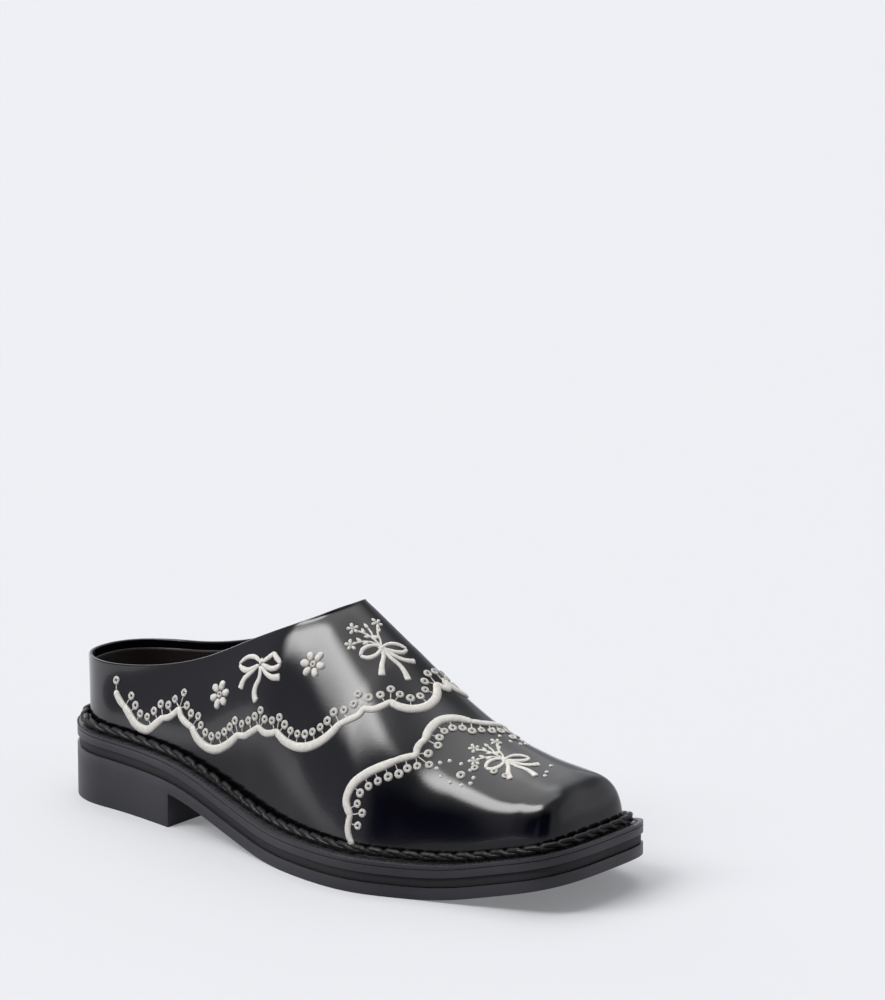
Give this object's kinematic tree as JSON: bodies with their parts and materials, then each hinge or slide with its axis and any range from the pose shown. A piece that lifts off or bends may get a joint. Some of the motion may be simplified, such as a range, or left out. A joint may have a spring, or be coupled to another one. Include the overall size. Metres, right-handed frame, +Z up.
{
  "type": "mule",
  "caption": "Right-foot leather mule with a low closed back, high throat, square toe, roped welt, layered sole and low block heel.",
  "frame": {"origin": "middle of the footprint's box, on the floor under the sole", "axes": "+X to the toe, +Y to the medial (inner) side of the right foot, +Z up"},
  "size_m": [0.282, 0.1018, 0.1051],
  "materials": {
    "black_calf": "polished black box calf",
    "brown_lining": "dark brown lining leather, matt",
    "waxed_cord": "black waxed rope",
    "sole_edge": "dark grey sole edge, satin",
    "rand_edge": "matt black sole layer",
    "ivory_thread": "ivory satin-stitch thread"
  },
  "bodies": {
    "root": {"upper": "black_calf", "insole": "brown_lining", "welt_braid": "waxed_cord", "welt": "sole_edge", "midsole": "sole_edge", "rand": "rand_edge", "outsole": "sole_edge"}
  },
  "joints": []
}
